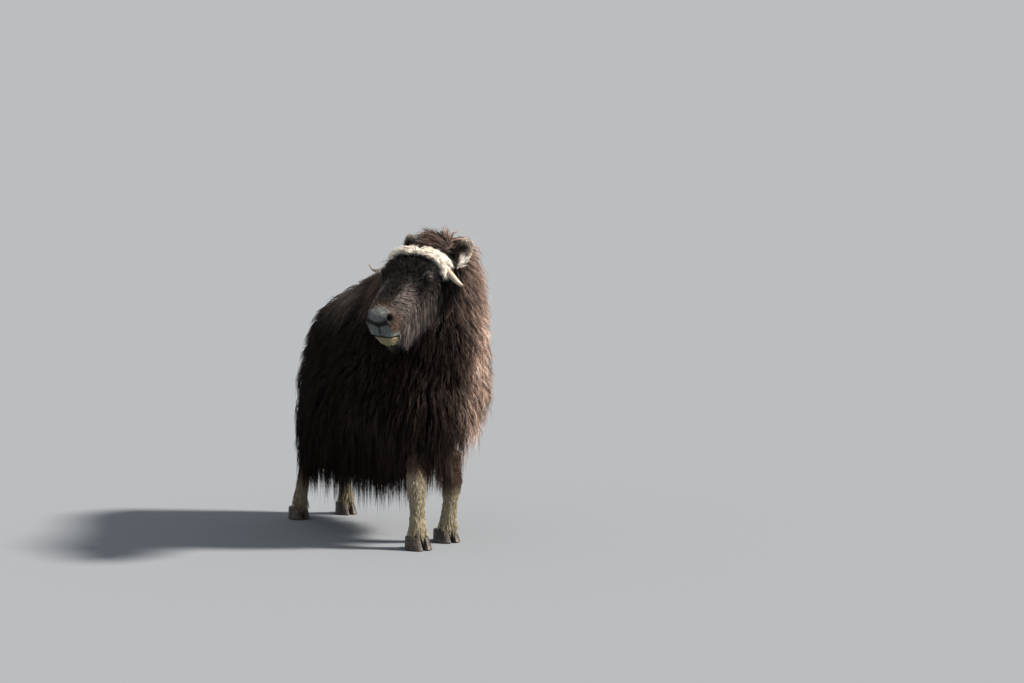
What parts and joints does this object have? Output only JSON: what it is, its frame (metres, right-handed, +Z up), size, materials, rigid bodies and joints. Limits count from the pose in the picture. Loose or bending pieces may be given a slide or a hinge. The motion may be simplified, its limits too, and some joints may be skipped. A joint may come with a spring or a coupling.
{
  "type": "muskox",
  "caption": "Life-size young muskox standing still on all fours, in a long hanging coat, with short curved horns and the head turned to its right.",
  "frame": {"origin": "floor level, under the middle of the whole figure's box", "axes": "+Z up; the animal's trunk faces -Y and its left side is +X"},
  "size_m": [0.725, 1.2096, 1.1346],
  "materials": {
    "coat": "long dark brown guard hair, wavy and hanging, soft sheen",
    "face_hair": "short dark hair, pale around the nose and lips, cream wool over the brow",
    "leg_hair": "short flat pale hair",
    "horn": "smooth keratin, fine lengthwise grain",
    "hoof": "worn dark keratin with growth rings",
    "eye": "wet and glossy"
  },
  "bodies": {
    "root": {"trunk": "coat", "neck": "coat", "tail": "coat", "ear_left": "coat", "ear_right": "coat", "head": "face_hair", "lower_jaw": "face_hair", "front_leg_left": "leg_hair", "front_leg_right": "leg_hair", "hind_leg_left": "leg_hair", "hind_leg_right": "leg_hair", "horn_left": "horn", "horn_right": "horn", "eye_left": "eye", "eye_right": "eye", "hoof_front_left_inner": "hoof", "hoof_front_left_outer": "hoof", "hoof_front_right_inner": "hoof", "hoof_front_right_outer": "hoof", "hoof_hind_left_inner": "hoof", "hoof_hind_left_outer": "hoof", "hoof_hind_right_inner": "hoof", "hoof_hind_right_outer": "hoof"}
  },
  "joints": []
}
